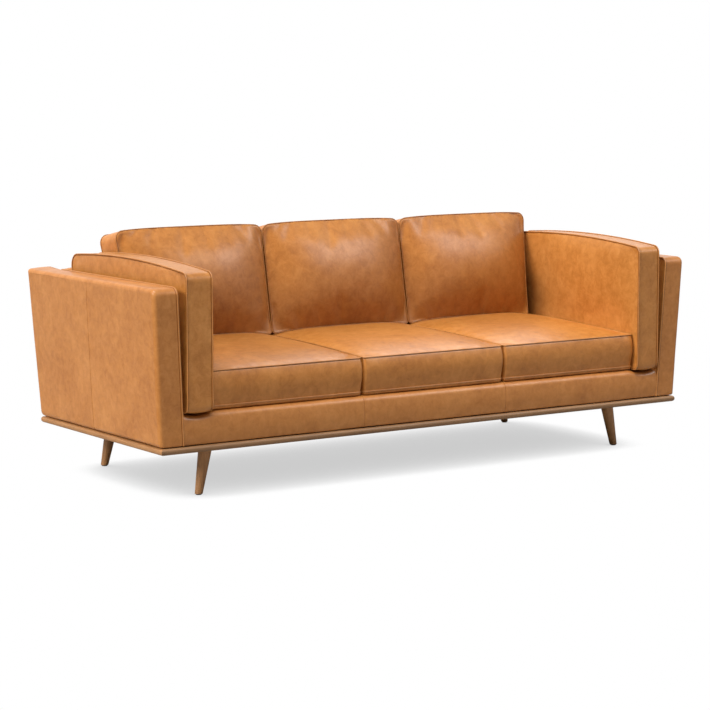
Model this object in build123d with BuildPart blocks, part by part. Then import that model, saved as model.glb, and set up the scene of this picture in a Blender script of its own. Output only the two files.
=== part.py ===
from build123d import *
import os
from math import cos, radians, sin, sqrt, tan

os.makedirs("parts", exist_ok=True)

# Three-seat leather sofa on a wooden plinth with splayed legs, in millimetres.
# X runs along the sofa, Y points to its back and Z is up.
# The origin is on the floor, under the middle of the sofa.

# Clearances
fit_gap = 0.3
rest_gap = 0.3
lean_gap = 1.0
bore_gap = 0.2

# Plinth: boards mitred at the corners, with a rounded outer edge that stands out round the tub
plinth_past_side = 4.0
plinth_past_front = 12.5
plinth_past_rear = 7.0
plinth_thickness = 22.0
plinth_board_width = 60.0
plinth_edge_radius = 10.0
floor_clearance = 163.5

# Legs, with the plates and bolts that carry them
leg_inset_end = 202.0
leg_inset_front = 113.5
leg_inset_rear = 91.5
leg_splay_x = 31.0
leg_splay_y = 6.5
leg_foot_diameter = 26.5
leg_top_diameter = 47.0
leg_foot_chamfer = 1.5
leg_run_out = 10.0
leg_rail_width = 110.0
glide_height = 3.0
glide_diameter = 20.0
glide_chamfer = 0.8
leg_plate_size = 60.0
leg_plate_thickness = 2.5
leg_plate_corner = 6.0
hanger_bolt_diameter = 8.0
hanger_bolt_in_leg = 40.0
hanger_bolt_in_rail = 18.0

# Seat frame
dust_cover_thickness = 0.8
dust_cover_inset = 14.0
seat_rail_height = 95.0
seat_rail_thickness = 28.0
cross_rail_height = 66.0
corner_block_leg = 90.0
corner_block_height = 60.0

# Seat suspension
strap_width = 70.0
strap_thickness = 1.6
strap_margin = 8.0
straps_front_to_back = 12
straps_end_to_end = 4
strap_end_lap = 22.0
deck_pad_thickness = 11.0

# Tub: flared sides, leaning back and front rail, each a padded cover over its frame
tub_lift = 3.0
side_flare = 26.5
side_top = 702.0
side_thickness = 82.0
side_past_seat = 9.0
side_front_lean = 12.5
side_rear_lean = 37.5
back_past_side = 10.0
back_foot_depth = 151.7
recline_angle = 10.66
padding = 15.0
cover_softness = 14.0
back_softness = 20.0
cover_hem_radius = 5.0
front_cover_depth = 70.0
front_roll_radius = 24.0
scoop_margin = 25.0
scoop_depth = 13.0

# Arm and back frames
arm_board_thickness = 18.0
arm_post_width = 60.0
back_upright_thickness = 28.0
back_rail_height = 60.0
back_strap_width = 60.0
back_straps = 7

# Loose cushions, which set the width and the depth of the tub
cushion_pitch = 606.0
cushion_gap = 3.4
seat_arm_gap = 3.5
seat_back_gap = 10.5
arm_side_gap = 10.0
dome_steps = (0.0, 1 / 3, 2 / 3, 1.0)
seat_front = 426.5
seat_depth = 706.0
seat_boxing = 117.0
seat_swell = 4.0
seat_corner = 20.0
seat_draw_in = 3.0
seat_crown = 28.0
seat_crown_reach = 200.0
seat_underside = 12.7
seat_underside_reach = 60.0
back_cushion_top = 844.0
back_cushion_boxing = 116.0
back_cushion_corner = 34.0
back_cushion_draw_in = 3.0
back_cushion_rise = 4.0
back_cushion_crown = 40.0
back_cushion_crown_reach = 150.0
back_cushion_back_crown = 40.0
arm_cushion_boxing = 94.0
arm_cushion_past_seat = 26.0
arm_cushion_crest = 768.0
arm_cushion_crest_y = 70.0
arm_cushion_front_drop = 21.0
arm_cushion_rear_drop = 8.0
arm_cushion_rear_gap = 12.0
arm_cushion_swell = 4.0
arm_cushion_crown = 4.0
arm_cushion_crown_reach = 90.0
arm_cushion_bottom_corner = 20.0
arm_cushion_front_corner = 34.0
arm_cushion_rear_corner = 42.0

# Heights that follow from the stack
plinth_top = floor_clearance + plinth_thickness
frame_bottom = plinth_top + dust_cover_thickness
frame_top = frame_bottom + seat_rail_height
webbing_top = frame_top + 2 * strap_thickness + fit_gap
deck_bottom = webbing_top + fit_gap
deck_top = deck_bottom + deck_pad_thickness
tub_bottom = plinth_top + tub_lift
leg_top = floor_clearance - leg_plate_thickness
seat_low_seam = deck_top + rest_gap + seat_underside
seat_high_seam = seat_low_seam + seat_boxing
back_top = side_top + back_past_side
recline = tan(radians(recline_angle))
back_cushion_thickness = back_cushion_boxing + back_cushion_back_crown
sides = (("left", -1), ("right", 1))
rows = (("front", -1), ("rear", 1))
corners = [(end, way) for _, end in sides for _, way in rows]
places = (("left", -1), ("middle", 0), ("right", 1))

# Widths and depths that follow from the cushions
seat_rear = seat_depth - seat_front
side_front = seat_front + side_past_seat
cushion_joint_x = cushion_pitch / 2
arm_cushion_inside = len(places) * cushion_pitch / 2 + seat_arm_gap
arm_outside = arm_cushion_inside + arm_cushion_boxing
tub_half_width = arm_outside + arm_side_gap + side_thickness


def save(builder, name):
    builder.part.label = name
    export_step(builder.part, f"parts/{name}.step")


# Faces of the tub, as functions of the height


def side_rise(z):
    return (z - tub_bottom) / (side_top - tub_bottom)


def side_face(side, depth):
    """Face of a side panel, at a depth in from its outer face."""
    return lambda z: side * (tub_half_width + side_flare * side_rise(z) - depth)


def front_face(depth):
    return lambda z: -side_front - side_front_lean * side_rise(z) + depth


def inside_back_face(depth):
    """Inside of the back, which leans from behind the lower seam of the seat cushions."""
    return lambda z: seat_rear + seat_back_gap + recline * (z - seat_low_seam) + depth


def rear_face(depth):
    foot = inside_back_face(back_foot_depth)(tub_bottom)
    return lambda z: foot + side_rear_lean * side_rise(z) - depth


def level(value):
    return lambda z: value


def slab_sections(low, high, left, right, front, rear):
    """Foot and head of a straight-sided block whose four faces are functions of the height."""
    sections = []
    for z in (low, high):
        with BuildSketch(Plane.XY.offset(z)) as section:
            with BuildLine():
                Polyline(
                    (left(z), front(z)),
                    (right(z), front(z)),
                    (right(z), rear(z)),
                    (left(z), rear(z)),
                    close=True,
                )
            make_face()
        sections.append(section.sketch)
    return sections


# Plinth

side_rear = rear_face(0)(tub_bottom)
plinth_front = side_front + plinth_past_front
plinth_rear = side_rear + plinth_past_rear
plinth_middle = (plinth_rear - plinth_front) / 2
plinth_half_depth = (plinth_rear + plinth_front) / 2
plinth_half_length = tub_half_width + plinth_past_side
board_middle_z = floor_clearance + plinth_thickness / 2


def mitre(end, way, away):
    """Upright plane through a corner of the plinth, facing away from the board that is kept."""
    corner = (end * plinth_half_length, plinth_middle + way * plinth_half_depth, board_middle_z)
    return Plane(origin=corner, z_dir=(away[0], away[1], 0))


for name, way in (("plinth_front_rail", -1), ("plinth_rear_rail", 1)):
    with BuildPart() as plinth_rail:
        with BuildSketch(Plane.YZ):
            board_y = plinth_middle + way * (plinth_half_depth - plinth_board_width / 2)
            with Locations((board_y, board_middle_z)):
                Rectangle(plinth_board_width, plinth_thickness)
            outer = vertices().group_by(Axis.X)[0 if way < 0 else -1]
            fillet(outer, plinth_edge_radius)
        extrude(amount=plinth_half_length, both=True)
        for end in (-1, 1):
            split(bisect_by=mitre(end, way, (end, -way)), keep=Keep.BOTTOM)
    save(plinth_rail, name)

for side_name, end in sides:
    with BuildPart() as plinth_rail:
        with BuildSketch(Plane.XZ.offset(-plinth_middle)):
            with Locations((end * (plinth_half_length - plinth_board_width / 2), board_middle_z)):
                Rectangle(plinth_board_width, plinth_thickness)
            outer = vertices().group_by(Axis.X)[0 if end < 0 else -1]
            fillet(outer, plinth_edge_radius)
        extrude(amount=plinth_half_depth, both=True)
        for way in (-1, 1):
            split(bisect_by=mitre(end, way, (-end, way)), keep=Keep.BOTTOM)
    save(plinth_rail, f"plinth_{side_name}_rail")

# Legs, and the rails, plates, bolts and glides that go with them

leg_rail_front = -plinth_front + plinth_board_width + fit_gap
leg_rail_rear = plinth_rear - plinth_board_width - fit_gap
bolt_bore = hanger_bolt_diameter / 2 + bore_gap
leg_foot_x = plinth_half_length - leg_inset_end
leg_foot_y = {-1: leg_inset_front - plinth_front, 1: plinth_rear - leg_inset_rear}
leg_top_x = leg_foot_x - leg_splay_x
leg_top_y = {way: leg_foot_y[way] - way * leg_splay_y for _, way in rows}
leg_feet = [(end * leg_foot_x, leg_foot_y[way]) for end, way in corners]
leg_tops = [(end * leg_top_x, leg_top_y[way]) for end, way in corners]

for side_name, end in sides:
    with BuildPart() as leg_rail:
        rail_depth = leg_rail_rear - leg_rail_front
        rail_centre = (end * leg_top_x, (leg_rail_front + leg_rail_rear) / 2)
        with BuildSketch(Plane.XY.offset(floor_clearance)):
            with Locations(rail_centre):
                Rectangle(leg_rail_width, rail_depth)
        extrude(amount=plinth_thickness)
        with BuildSketch(Plane.XY.offset(floor_clearance)):
            with Locations(*[(end * leg_top_x, leg_top_y[way]) for _, way in rows]):
                Circle(bolt_bore)
        extrude(amount=hanger_bolt_in_rail + bore_gap, mode=Mode.SUBTRACT)
    save(leg_rail, f"leg_rail_{side_name}")

for side_name, end in sides:
    for row_name, way in rows:
        foot = Vector(end * leg_foot_x, leg_foot_y[way], glide_height)
        top = Vector(end * leg_top_x, leg_top_y[way], leg_top)
        leg_line = top - foot
        leg_taper = (leg_top_diameter - leg_foot_diameter) / 2 / leg_line.length * leg_run_out
        with BuildPart() as leg:
            with Locations(Plane(origin=(foot + top) / 2, z_dir=leg_line)):
                Cone(
                    leg_foot_diameter / 2 - leg_taper,
                    leg_top_diameter / 2 + leg_taper,
                    leg_line.length + 2 * leg_run_out,
                )
            split(bisect_by=Plane.XY.offset(glide_height), keep=Keep.TOP)
            split(bisect_by=Plane.XY.offset(leg_top), keep=Keep.BOTTOM)
            chamfer(edges().group_by(Axis.Z)[0], leg_foot_chamfer)
            with BuildSketch(Plane(top)):
                Circle(bolt_bore)
            extrude(amount=-hanger_bolt_in_leg - bore_gap, mode=Mode.SUBTRACT)
        save(leg, f"leg_{row_name}_{side_name}")

with BuildPart() as leg_plates:
    with BuildSketch(Plane.XY.offset(leg_top)):
        with Locations(*leg_tops):
            RectangleRounded(leg_plate_size, leg_plate_size, leg_plate_corner)
            Circle(bolt_bore, mode=Mode.SUBTRACT)
    extrude(amount=leg_plate_thickness)
save(leg_plates, "leg_plates")

with BuildPart() as hanger_bolts:
    with BuildSketch(Plane.XY.offset(leg_top - hanger_bolt_in_leg)):
        with Locations(*leg_tops):
            Circle(hanger_bolt_diameter / 2)
    extrude(amount=hanger_bolt_in_leg + leg_plate_thickness + hanger_bolt_in_rail)
save(hanger_bolts, "hanger_bolts")

with BuildPart() as leg_glides:
    with BuildSketch():
        with Locations(*leg_feet):
            Circle(glide_diameter / 2)
    extrude(amount=glide_height)
    chamfer(edges().group_by(Axis.Z)[0], glide_chamfer)
save(leg_glides, "leg_glides")

# Seat frame, closed underneath by the dust cover

frame_end = side_face(1, side_thickness)(tub_bottom) - fit_gap
frame_front = -side_front + padding + fit_gap
frame_rear = inside_back_face(0)(frame_bottom) - fit_gap
rail_front = frame_front + seat_rail_thickness
rail_rear = frame_rear - seat_rail_thickness
rail_end = frame_end - seat_rail_thickness

with BuildPart() as dust_cover:
    with BuildSketch(Plane.XY.offset(plinth_top)):
        with BuildLine():
            Polyline(
                (-tub_half_width + dust_cover_inset, -side_front + dust_cover_inset),
                (tub_half_width - dust_cover_inset, -side_front + dust_cover_inset),
                (tub_half_width - dust_cover_inset, side_rear - dust_cover_inset),
                (-tub_half_width + dust_cover_inset, side_rear - dust_cover_inset),
                close=True,
            )
        make_face()
    extrude(amount=dust_cover_thickness)
save(dust_cover, "dust_cover")

for name, front in (("seat_frame_front_rail", frame_front), ("seat_frame_rear_rail", rail_rear)):
    with BuildPart() as seat_rail:
        with BuildSketch(Plane.XY.offset(frame_bottom)):
            with Locations((0, front + seat_rail_thickness / 2)):
                Rectangle(2 * frame_end, seat_rail_thickness)
        extrude(amount=seat_rail_height)
    save(seat_rail, name)

for side_name, end in sides:
    with BuildPart() as seat_rail:
        with BuildSketch(Plane.XY.offset(frame_bottom)):
            with Locations((end * (frame_end - seat_rail_thickness / 2), (rail_front + rail_rear) / 2)):
                Rectangle(seat_rail_thickness, rail_rear - rail_front)
        extrude(amount=seat_rail_height)
    save(seat_rail, f"seat_frame_{side_name}_rail")

with BuildPart() as seat_frame_cross_rails:
    with BuildSketch(Plane.XY.offset(frame_bottom)):
        with Locations((0, (rail_front + rail_rear) / 2)):
            with GridLocations(2 * cushion_joint_x, 0, 2, 1):
                Rectangle(seat_rail_thickness, rail_rear - rail_front)
    extrude(amount=cross_rail_height)
save(seat_frame_cross_rails, "seat_frame_cross_rails")

with BuildPart() as seat_frame_corner_blocks:
    for end, way in corners:
        corner_y = rail_front if way < 0 else rail_rear
        with BuildSketch(Plane.XY.offset(frame_bottom)):
            with BuildLine():
                Polyline(
                    (end * rail_end, corner_y),
                    (end * (rail_end - corner_block_leg), corner_y),
                    (end * rail_end, corner_y - way * corner_block_leg),
                    close=True,
                )
            make_face()
        extrude(amount=corner_block_height)
save(seat_frame_corner_blocks, "seat_frame_corner_blocks")

# Woven webbing over the seat frame, and the deck pad over it

strap_climb = strap_thickness + fit_gap
strap_lands = strap_width / 2 + strap_margin
column_pitch = 2 * rail_end / straps_front_to_back
row_pitch = (rail_rear - rail_front) / straps_end_to_end
strap_columns = [column_pitch * (i + 0.5) - rail_end for i in range(straps_front_to_back)]
strap_rows = [row_pitch * (j + 0.5) + rail_front for j in range(straps_end_to_end)]


def strap_outline(start, end, crossings, over_first):
    """Side view of a strap that climbs over every other strap that it crosses."""
    underside = [(start, frame_top)]
    for index, place in enumerate(crossings):
        height = frame_top + (strap_climb if (index % 2 == 0) == over_first else 0)
        underside.append((place - strap_lands, height))
        underside.append((place + strap_lands, height))
    underside.append((end, frame_top))
    topside = [(place, height + strap_thickness) for place, height in reversed(underside)]
    return underside + topside


with BuildPart() as seat_webbing:
    for i, column in enumerate(strap_columns):
        with BuildSketch(Plane.YZ.offset(column)):
            with BuildLine():
                ends = (rail_front - strap_end_lap, rail_rear + strap_end_lap)
                Polyline(*strap_outline(*ends, strap_rows, i % 2 == 0), close=True)
            make_face()
        extrude(amount=strap_width / 2, both=True)
    for j, row in enumerate(strap_rows):
        with BuildSketch(Plane.XZ.offset(-row)):
            with BuildLine():
                ends = (-rail_end - strap_end_lap, rail_end + strap_end_lap)
                Polyline(*strap_outline(*ends, strap_columns, j % 2 == 1), close=True)
            make_face()
        extrude(amount=strap_width / 2, both=True)
save(seat_webbing, "seat_webbing")

deck_front = -side_front + front_cover_depth + fit_gap
deck_rear = inside_back_face(0)(deck_bottom) - fit_gap

with BuildPart() as deck_pad:
    with BuildSketch(Plane.XY.offset(deck_bottom)):
        with Locations((0, (deck_front + deck_rear) / 2)):
            Rectangle(2 * frame_end, deck_rear - deck_front)
    extrude(amount=deck_pad_thickness)
save(deck_pad, "deck_pad")

# Sides: a board and four rails inside an outer cover, closed by an inner cover

post_back = padding + fit_gap
board_back = side_thickness - padding - fit_gap - arm_board_thickness
board_front = side_thickness - padding - fit_gap
arm_frame_top = side_top - padding - fit_gap
pocket_overrun = 5.0

for side_name, side in sides:
    with BuildPart() as arm_outer_cover:
        faces_of_side = (side_face(side, side_thickness), side_face(side, 0), front_face(0), rear_face(0))
        loft(slab_sections(tub_bottom, side_top, *faces_of_side), ruled=True)
        outer_face = faces().sort_by(Axis.X)[0 if side < 0 else -1]
        top_face = faces().sort_by(Axis.Z)[-1]
        front_end = faces().sort_by(Axis.Y)[0]
        rear_end = faces().sort_by(Axis.Y)[-1]
        top_corners = top_face.edges() & (front_end.edges() + rear_end.edges())
        fillet(outer_face.edges() + top_corners, cover_softness)
        pocket = slab_sections(
            tub_bottom - pocket_overrun,
            side_top - padding,
            side_face(side, side_thickness + pocket_overrun),
            side_face(side, padding),
            front_face(padding),
            rear_face(padding),
        )
        loft(pocket, ruled=True, mode=Mode.SUBTRACT)
    save(arm_outer_cover, f"{side_name}_side_outer_cover")

    with BuildPart() as arm_inner_cover:
        lid = slab_sections(
            tub_bottom,
            arm_frame_top,
            side_face(side, side_thickness),
            side_face(side, side_thickness - padding),
            front_face(padding + fit_gap),
            rear_face(padding + fit_gap),
        )
        loft(lid, ruled=True)
    save(arm_inner_cover, f"{side_name}_side_inner_cover")

    with BuildPart() as arm_board:
        board = slab_sections(
            frame_bottom,
            arm_frame_top,
            side_face(side, board_front),
            side_face(side, board_back),
            front_face(post_back),
            rear_face(post_back),
        )
        loft(board, ruled=True)
    save(arm_board, f"{side_name}_side_board")

    post_faces = (side_face(side, board_back), side_face(side, post_back))
    with BuildPart() as arm_posts:
        front_post = (front_face(post_back), front_face(post_back + arm_post_width))
        rear_post = (rear_face(post_back + arm_post_width), rear_face(post_back))
        for post in (front_post, rear_post):
            loft(slab_sections(frame_bottom, arm_frame_top, *post_faces, *post), ruled=True)
    save(arm_posts, f"{side_name}_side_posts")

    between_posts = (front_face(post_back + arm_post_width), rear_face(post_back + arm_post_width))
    for rail_name, low in (("bottom", frame_bottom), ("top", arm_frame_top - arm_post_width)):
        with BuildPart() as arm_rail:
            rail = slab_sections(low, low + arm_post_width, *post_faces, *between_posts)
            loft(rail, ruled=True)
        save(arm_rail, f"{side_name}_side_{rail_name}_rail")

# Back: uprights, top rail and webbing between an outer and an inner cover

back_ends = (side_face(-1, side_thickness + fit_gap), side_face(1, side_thickness + fit_gap))
back_frame_ends = (
    side_face(-1, side_thickness + 2 * fit_gap),
    side_face(1, side_thickness + 2 * fit_gap),
)
back_frame_top = back_top - padding - fit_gap
upright_front = inside_back_face(padding + fit_gap + strap_thickness)
upright_rear = rear_face(padding + fit_gap)

with BuildPart() as back_outer_cover:
    loft(slab_sections(tub_bottom, back_top, *back_ends, inside_back_face(0), rear_face(0)), ruled=True)
    top_face = faces().sort_by(Axis.Z)[-1]
    rear_end = faces().sort_by(Axis.Y)[-1]
    soft_edges = top_face.edges().filter_by(Axis.X) + rear_end.edges().filter_by(Axis.X).sort_by(Axis.Z)[:1]
    fillet(soft_edges, back_softness)
    pocket = slab_sections(
        tub_bottom - pocket_overrun,
        back_top - padding,
        side_face(-1, side_thickness - pocket_overrun),
        side_face(1, side_thickness - pocket_overrun),
        inside_back_face(-pocket_overrun - back_softness),
        rear_face(padding),
    )
    loft(pocket, ruled=True, mode=Mode.SUBTRACT)
save(back_outer_cover, "back_outer_cover")

with BuildPart() as back_inner_cover:
    lid_faces = (inside_back_face(0), inside_back_face(padding))
    lid = slab_sections(tub_bottom, back_frame_top, *back_ends, *lid_faces)
    loft(lid, ruled=True)
save(back_inner_cover, "back_inner_cover")

with BuildPart() as back_top_rail:
    rail = slab_sections(
        back_frame_top - back_rail_height, back_frame_top, *back_frame_ends, upright_front, upright_rear
    )
    loft(rail, ruled=True)
save(back_top_rail, "back_top_rail")

with BuildPart() as back_uprights:
    upright_end = frame_end - back_upright_thickness / 2
    for place in (-upright_end, -cushion_joint_x, cushion_joint_x, upright_end):
        upright = slab_sections(
            frame_bottom,
            back_frame_top - back_rail_height,
            level(place - back_upright_thickness / 2),
            level(place + back_upright_thickness / 2),
            upright_front,
            upright_rear,
        )
        loft(upright, ruled=True)
save(back_uprights, "back_uprights")

with BuildPart() as back_webbing:
    back_strap_pitch = 2 * frame_end / back_straps
    for index in range(back_straps):
        place = back_strap_pitch * (index + 0.5) - frame_end
        strap = slab_sections(
            frame_bottom,
            back_frame_top,
            level(place - back_strap_width / 2),
            level(place + back_strap_width / 2),
            inside_back_face(padding + fit_gap),
            upright_front,
        )
        loft(strap, ruled=True)
save(back_webbing, "back_webbing")

# Front rail cover: rolled over the frame's front rail, hollowed under each arm cushion

arm_middle = arm_cushion_inside + arm_cushion_boxing / 2
scoop_width = arm_cushion_boxing + 2 * scoop_margin
scoop_radius = ((scoop_width / 2) ** 2 + scoop_depth**2) / (2 * scoop_depth)

with BuildPart() as front_rail_cover:
    with BuildSketch(Plane.YZ):
        with BuildLine():
            Polyline(
                (-side_front, tub_bottom),
                (-side_front, deck_top),
                (-side_front + front_cover_depth, deck_top),
                (-side_front + front_cover_depth, deck_bottom),
                (-side_front + padding, deck_bottom),
                (-side_front + padding, tub_bottom),
                close=True,
            )
        make_face()
        front_corners = vertices().group_by(Axis.X)[0].sort_by(Axis.Y)
        fillet(front_corners[-1:], front_roll_radius)
        hem = vertices().group_by(Axis.X)[0].sort_by(Axis.Y)[:1]
        fillet(hem, cover_hem_radius)
    extrude(amount=tub_half_width, both=True)
    inside = slab_sections(
        tub_bottom,
        deck_top,
        *back_ends,
        level(-side_front),
        level(-side_front + front_cover_depth),
    )
    loft(inside, ruled=True, mode=Mode.INTERSECT)
    with BuildSketch(Plane.XZ.offset(side_front)):
        with Locations(
            (-arm_middle, deck_top - scoop_depth + scoop_radius),
            (arm_middle, deck_top - scoop_depth + scoop_radius),
        ):
            Circle(scoop_radius)
    extrude(amount=-front_cover_depth, mode=Mode.SUBTRACT)
save(front_rail_cover, "front_rail_cover")

# Loose cushions

# How far the middle of a round corner stays inside the square one, as a share of its radius
corner_bend = 1 - sqrt(0.5)
# Most that a round corner may take of half a side
corner_limit = 0.9


def panel_outline(plane, width, height, inset, corner, draw_in, rise):
    """Outline of a cushion panel: round corners, sides drawn in, far edge arched."""
    half = width / 2 - inset
    low = inset
    high = height - inset
    corner = min(corner, corner_limit * half, corner_limit * (high - low) / 2)
    bend = corner * corner_bend
    with BuildSketch(plane) as outline:
        with BuildLine():
            Line((-half + corner, low), (half - corner, low))
            ThreePointArc((half - corner, low), (half - bend, low + bend), (half, low + corner))
            ThreePointArc((half, low + corner), (half - draw_in, (low + high) / 2), (half, high - corner))
            ThreePointArc((half, high - corner), (half - bend, high - bend), (half - corner, high))
            if rise > 0:
                ThreePointArc((half - corner, high), (0, high + rise), (-half + corner, high))
            else:
                Line((half - corner, high), (-half + corner, high))
            ThreePointArc((-half + corner, high), (-half + bend, high - bend), (-half, high - corner))
            ThreePointArc((-half, high - corner), (draw_in - half, (low + high) / 2), (-half, low + corner))
            ThreePointArc((-half, low + corner), (-half + bend, low + bend), (-half + corner, low))
        make_face()
    return outline.sketch


def dome_height(step):
    """Height of a crown, as a share of its full height, at a share of its reach in from the seam."""
    return 1 - (1 - step) ** 2


seat_seam_width = cushion_pitch - cushion_gap - 2 * seat_swell


def seat_outline(x, z, inset):
    plane = Plane((x, -seat_front, z))
    return panel_outline(plane, seat_seam_width, seat_depth, inset, seat_corner, seat_draw_in, 0)


for place_name, place in places:
    x = place * cushion_pitch
    with BuildPart() as seat_cushion:
        boxing = [
            seat_outline(x, seat_low_seam, 0),
            seat_outline(x, (seat_low_seam + seat_high_seam) / 2, -seat_swell),
            seat_outline(x, seat_high_seam, 0),
        ]
        loft(boxing)
        crown = [
            seat_outline(x, seat_high_seam + seat_crown * dome_height(step), seat_crown_reach * step)
            for step in dome_steps
        ]
        loft(crown)
        underside = [
            seat_outline(x, seat_low_seam - seat_underside * dome_height(step), seat_underside_reach * step)
            for step in dome_steps
        ]
        loft(underside)
    save(seat_cushion, f"seat_cushion_{place_name}")

# Back cushions lean at the recline angle and rest on the crown of the seat cushions.
# They touch it where the crown's slope equals the recline.

back_seam_width = cushion_pitch - cushion_gap
clear_of_back = (back_cushion_thickness + lean_gap) / cos(radians(recline_angle))
back_cushion_front_seam = inside_back_face(0)(back_cushion_top) - clear_of_back
contact_step = 1 - recline * seat_crown_reach / (2 * seat_crown)
contact_y = seat_rear - seat_crown_reach * contact_step
contact_z = seat_high_seam + seat_crown * dome_height(contact_step)
lean_up = (0, sin(radians(recline_angle)), cos(radians(recline_angle)))
lean_out = (0, -cos(radians(recline_angle)), sin(radians(recline_angle)))
back_seam_lift = 2 * rest_gap + contact_z + recline * (contact_y - back_cushion_front_seam)
back_seam_bottom_z = (back_seam_lift + recline**2 * back_cushion_top) / (1 + recline**2)
back_seam_bottom_y = back_cushion_front_seam - recline * (back_cushion_top - back_seam_bottom_z)
back_cushion_height = (back_cushion_top - back_seam_bottom_z) / lean_up[2]


def back_outline(x, out, inset):
    origin = Vector(x, back_seam_bottom_y, back_seam_bottom_z) + Vector(*lean_out) * out
    plane = Plane(origin=origin, x_dir=(1, 0, 0), z_dir=lean_out)
    return panel_outline(
        plane,
        back_seam_width,
        back_cushion_height,
        inset,
        back_cushion_corner,
        back_cushion_draw_in,
        back_cushion_rise,
    )


for place_name, place in places:
    x = place * cushion_pitch
    with BuildPart() as back_cushion:
        loft([back_outline(x, 0, 0), back_outline(x, -back_cushion_boxing, 0)], ruled=True)
        crown = [
            back_outline(x, back_cushion_crown * dome_height(step), back_cushion_crown_reach * step)
            for step in dome_steps
        ]
        loft(crown)
        back_crown = [
            back_outline(
                x,
                -back_cushion_boxing - back_cushion_back_crown * dome_height(step),
                back_cushion_crown_reach * step,
            )
            for step in dome_steps
        ]
        loft(back_crown)
    save(back_cushion, f"back_cushion_{place_name}")

arm_low_seam = deck_top + rest_gap + arm_cushion_swell
arm_cushion_front = seat_front + arm_cushion_past_seat
arm_cushion_front_top = arm_cushion_crest - arm_cushion_front_drop
arm_cushion_rear_top = arm_cushion_crest - arm_cushion_rear_drop


def arm_outline(x, inset):
    """Side view of an arm cushion: arched top, rear edge parallel to the back."""
    front = inset - arm_cushion_front
    rear = inside_back_face(-arm_cushion_rear_gap - inset)
    low = arm_low_seam + inset
    front_top = arm_cushion_front_top - inset
    rear_top = arm_cushion_rear_top - inset
    crest = (arm_cushion_crest_y, arm_cushion_crest - inset)
    foot = arm_cushion_bottom_corner
    nose = arm_cushion_front_corner
    heel = arm_cushion_rear_corner
    foot_bend = foot * corner_bend
    nose_bend = nose * corner_bend
    heel_bend = heel * corner_bend
    with BuildSketch(Plane.YZ.offset(x)) as outline:
        with BuildLine():
            Line((front, low + foot), (front, front_top - nose))
            ThreePointArc(
                (front, front_top - nose),
                (front + nose_bend, front_top - nose_bend),
                (front + nose, front_top),
            )
            ThreePointArc((front + nose, front_top), crest, (rear(rear_top) - heel, rear_top))
            ThreePointArc(
                (rear(rear_top) - heel, rear_top),
                (rear(rear_top - heel_bend) - heel_bend, rear_top - heel_bend),
                (rear(rear_top - heel), rear_top - heel),
            )
            Line((rear(rear_top - heel), rear_top - heel), (rear(low + foot), low + foot))
            ThreePointArc(
                (rear(low + foot), low + foot),
                (rear(low + foot_bend) - foot_bend, low + foot_bend),
                (rear(low) - foot, low),
            )
            Line((rear(low) - foot, low), (front + foot, low))
            ThreePointArc(
                (front + foot, low), (front + foot_bend, low + foot_bend), (front, low + foot)
            )
        make_face()
    return outline.sketch


for side_name, side in sides:
    with BuildPart() as arm_cushion:
        boxing = [
            arm_outline(side * arm_cushion_inside, 0),
            arm_outline(side * arm_middle, -arm_cushion_swell),
            arm_outline(side * arm_outside, 0),
        ]
        loft(boxing)
        for seam, way in ((arm_cushion_inside, -1), (arm_outside, 1)):
            crown = [
                arm_outline(
                    side * (seam + way * arm_cushion_crown * dome_height(step)),
                    arm_cushion_crown_reach * step,
                )
                for step in dome_steps
            ]
            loft(crown)
    save(arm_cushion, f"arm_cushion_{side_name}")
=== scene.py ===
from itertools import product
from math import cos, exp, pi, radians, sin, tan

import bpy
import numpy as np
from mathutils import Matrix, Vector, noise


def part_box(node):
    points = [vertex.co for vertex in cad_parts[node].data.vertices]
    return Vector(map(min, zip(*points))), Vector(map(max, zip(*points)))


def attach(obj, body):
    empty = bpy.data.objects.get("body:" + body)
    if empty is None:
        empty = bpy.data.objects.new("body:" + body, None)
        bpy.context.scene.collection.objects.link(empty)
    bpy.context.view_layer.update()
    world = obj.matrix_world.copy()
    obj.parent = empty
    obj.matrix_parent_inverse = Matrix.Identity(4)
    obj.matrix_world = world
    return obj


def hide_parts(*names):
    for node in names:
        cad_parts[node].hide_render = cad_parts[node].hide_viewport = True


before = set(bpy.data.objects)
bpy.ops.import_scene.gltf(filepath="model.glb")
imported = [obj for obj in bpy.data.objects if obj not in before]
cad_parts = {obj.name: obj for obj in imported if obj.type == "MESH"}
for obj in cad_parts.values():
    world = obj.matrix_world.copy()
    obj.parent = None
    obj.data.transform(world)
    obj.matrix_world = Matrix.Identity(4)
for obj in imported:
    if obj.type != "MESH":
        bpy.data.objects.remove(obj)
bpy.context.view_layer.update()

# Sizes in metres, in the frame of the CAD model: X along the sofa, Y to its back, Z up

# Loose cushions
cushion_pitch = 0.606
places = (("left", -1), ("middle", 0), ("right", 1))
sides = (("left", -1), ("right", 1))
seat_width = 0.5946
seat_front = -0.4265
seat_rear = 0.2795
seat_low_seam = 0.3091
seat_high_seam = 0.4261
seat_corner = 0.009
seat_crown = 0.022
seat_crown_reach = 0.30
seat_rise = 0.0205
seat_rise_run = 0.600
seat_rise_curve = 1.8
seat_back_room = 0.0035
seat_underside = 0.0122
seat_swell = 0.0045
seat_front_bow = 0.006
seat_bow_run = 0.03
seat_draw_in = -0.003
seat_fill = 0.75
back_width = 0.6026
back_height = 0.4002
back_boxing = 0.116
back_foot = Vector((0, 0.1573, 0.4527))
back_corners = (0.012, 0.012, 0.030, 0.034)
back_hollow = -0.0130
back_taper = 0.029
back_taper_head = 0.12
back_rise = 0.005
back_draw_in = -0.003
back_crown = 0.055
back_rear_crown = 0.038
back_crown_room = 0.003
back_fill = 0.7
recline = radians(10.66)
arm_inside = 0.9125
arm_boxing = 0.094
arm_front = -0.4525
arm_low = 0.3004
arm_front_top = 0.7535
arm_rear_top = 0.764
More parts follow.
